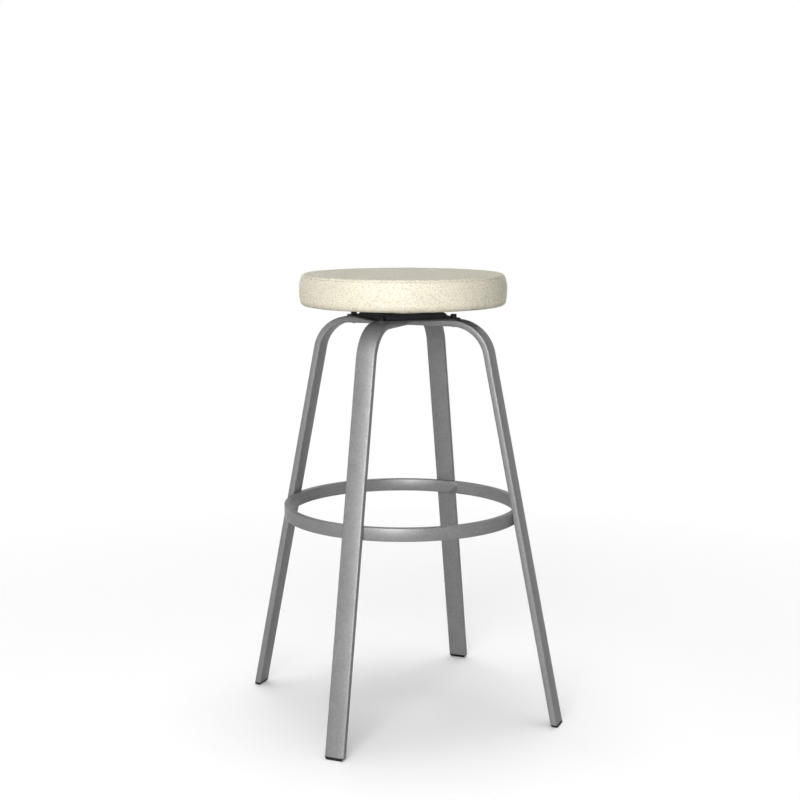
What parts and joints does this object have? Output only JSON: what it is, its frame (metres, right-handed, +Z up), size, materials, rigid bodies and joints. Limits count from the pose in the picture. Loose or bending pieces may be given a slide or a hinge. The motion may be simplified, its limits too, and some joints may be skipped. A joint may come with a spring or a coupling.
{
  "type": "swivel bar stool",
  "caption": "Backless swivel stool with a round upholstered seat, bent flat-tube legs and a round footrest ring.",
  "frame": {"origin": "on the floor, under the seat's centre", "axes": "+Z up along the swivel axis, the front faces -Y, and the four legs stand on the diagonals"},
  "size_m": [0.494, 0.494, 0.876],
  "materials": {
    "frame_coat": "silver grey metallic powder coat, fine grained",
    "glide_plastic": "black moulded plastic",
    "swivel_coat": "black semi-matt coat",
    "bolt_black": "black oxide",
    "bare_steel": "zinc plated",
    "ball_steel": "polished",
    "cage_nylon": "natural nylon",
    "plywood": "raw plywood",
    "foam": "open-cell foam",
    "seat_cover": "pebble-grained cream vinyl",
    "dust_cloth": "black non-woven cloth"
  },
  "bodies": {
    "frame": {"cross_leg": "frame_coat", "front_left_leg": "frame_coat", "rear_right_leg": "frame_coat", "footrest_ring": "frame_coat", "front_left_glide": "glide_plastic", "front_right_glide": "glide_plastic", "rear_left_glide": "glide_plastic", "rear_right_glide": "glide_plastic", "leg_bushes": "frame_coat", "lower_swivel_plate": "swivel_coat", "swivel_bolts": "bolt_black", "centre_rivet": "bare_steel", "thrust_washer": "bare_steel"},
    "bearing": {"bearing_balls": "ball_steel", "ball_cage": "cage_nylon"},
    "seat": {"upper_swivel_plate": "swivel_coat", "seat_screws": "bare_steel", "tee_nuts": "bare_steel", "seat_board": "plywood", "seat_foam": "foam", "seat_top_panel": "seat_cover", "seat_side_band": "seat_cover", "dust_cover": "dust_cloth"}
  },
  "joints": [
    {"name": "seat_swivel", "type": "hinge", "parent": "frame", "child": "seat", "pos_m": [0, 0, 0.802], "axis": [0, 0, 1], "continuous": true},
    {"name": "bearing_roll", "type": "hinge", "parent": "frame", "child": "bearing", "pos_m": [0, 0, 0.802], "axis": [0, 0, 1], "continuous": true}
  ],
  "couplings": [
    {"joint": "bearing_roll", "follows": "seat_swivel", "ratio": 0.5}
  ]
}
